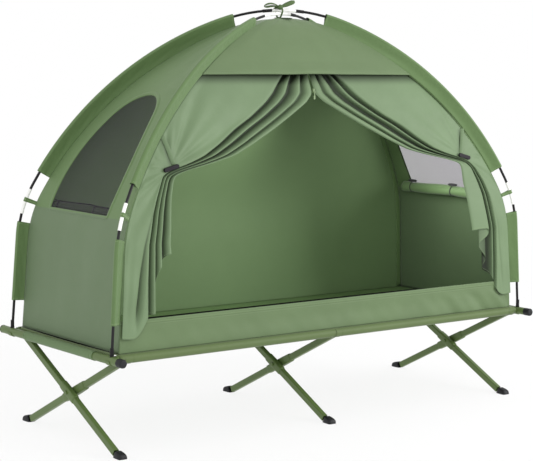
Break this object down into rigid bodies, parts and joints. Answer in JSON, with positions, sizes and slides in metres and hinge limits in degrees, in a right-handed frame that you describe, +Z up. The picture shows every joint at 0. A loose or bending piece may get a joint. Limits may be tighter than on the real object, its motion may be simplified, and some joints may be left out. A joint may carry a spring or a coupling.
{
  "type": "folding camp cot with dome tent",
  "caption": "Raised camping cot on crossed scissor legs with side rails and end bars, carrying a dome tent on two crossing poles with tied-back door curtains and mesh end windows.",
  "frame": {"origin": "on the floor, under the middle of the bed", "axes": "+X along the bed towards the foot end, +Y from the door to the rear wall, +Z up"},
  "size_m": [1.9334, 0.798, 1.5262],
  "materials": {
    "olive_tube": "satin olive powder coat",
    "zinc_steel": "zinc plated",
    "black_cap": "moulded, matt",
    "black_rod": "wound glass fibre rod, satin black",
    "white_ferrule": "white sleeve over the rod joint",
    "window_mesh": "fine knitted insect mesh",
    "black_toggle": "moulded, matt",
    "black_webbing": "woven tape",
    "zip_metal": "tumbled",
    "sleeve_cloth": "coated plain weave, green",
    "bed_cloth": "coated heavy plain weave, olive green",
    "tent_cloth": "coated plain weave, sage green"
  },
  "bodies": {
    "rear_frame": {"rear_rail_left": "olive_tube", "rear_rail_right": "olive_tube", "rear_rail_spigot": "olive_tube", "rear_rail_cradles": "olive_tube", "rear_leg_left": "olive_tube", "rear_leg_middle": "olive_tube", "rear_leg_right": "olive_tube", "rear_leg_collars": "olive_tube", "rear_leg_brackets": "olive_tube", "rear_leg_rivets": "zinc_steel", "front_feet": "black_cap", "pivot_bolts": "zinc_steel", "pivot_nuts": "zinc_steel", "bed_sheet": "bed_cloth"},
    "front_frame": {"front_rail_left": "olive_tube", "front_rail_right": "olive_tube", "front_rail_spigot": "olive_tube", "front_rail_cradles": "olive_tube", "front_leg_left": "olive_tube", "front_leg_middle": "olive_tube", "front_leg_right": "olive_tube", "front_leg_collars": "olive_tube", "front_leg_brackets": "olive_tube", "front_leg_rivets": "zinc_steel", "rear_feet": "black_cap"},
    "head_bar": {"head_bar": "olive_tube", "head_bar_caps": "black_cap", "head_bar_cover": "bed_cloth"},
    "foot_bar": {"foot_bar": "olive_tube", "foot_bar_caps": "black_cap", "foot_bar_cover": "bed_cloth"},
    "tent": {"crown_tie": "sleeve_cloth", "curtain_straps": "sleeve_cloth", "curtain_toggles": "black_toggle", "door_sill": "tent_cloth", "door_visor": "tent_cloth", "left_curtain": "tent_cloth", "left_wall": "tent_cloth", "left_window_mesh": "window_mesh", "left_window_roll": "tent_cloth", "over_lower_sleeves": "sleeve_cloth", "over_pole_ferrules": "white_ferrule", "over_pole_rods": "black_rod", "over_upper_sleeves": "sleeve_cloth", "pole_loops": "sleeve_cloth", "pole_tips": "white_ferrule", "rear_wall": "tent_cloth", "right_curtain": "tent_cloth", "right_wall": "tent_cloth", "right_window_mesh": "window_mesh", "right_window_roll": "tent_cloth", "tent_floor": "tent_cloth", "under_lower_sleeves": "sleeve_cloth", "under_pole_ferrules": "white_ferrule", "under_pole_rods": "black_rod", "under_upper_sleeves": "sleeve_cloth", "window_roll_ties": "black_webbing", "zip_slider": "zip_metal"},
    "zip_pull": {"zip_pull": "zip_metal"}
  },
  "joints": [
    {"name": "leg_fold", "type": "hinge", "parent": "rear_frame", "child": "front_frame", "pos_m": [0, 0, 0.16499], "axis": [-1, 0, 0], "range_deg": [0, 116], "deforming": ["bed_sheet"]},
    {"name": "head_bar_lift", "type": "slide", "parent": "rear_frame", "child": "head_bar", "axis": [0, 0, 1], "range_m": [0, 0.8103]},
    {"name": "foot_bar_lift", "type": "slide", "parent": "rear_frame", "child": "foot_bar", "axis": [0, 0, 1], "range_m": [0, 0.8103]},
    {"name": "tent_lift", "type": "slide", "parent": "rear_frame", "child": "tent", "axis": [0, 0, 1], "range_m": [0, 0.9116]},
    {"name": "zip_pull_swing", "type": "hinge", "parent": "tent", "child": "zip_pull", "pos_m": [0, -0.18979, 1.19332], "axis": [1, 0, 0], "range_deg": [-85, 20]}
  ],
  "couplings": [
    {"joint": "head_bar_lift", "follows": "leg_fold", "m_per_rad": 0.4},
    {"joint": "foot_bar_lift", "follows": "leg_fold", "m_per_rad": 0.4},
    {"joint": "tent_lift", "follows": "leg_fold", "m_per_rad": 0.45}
  ]
}
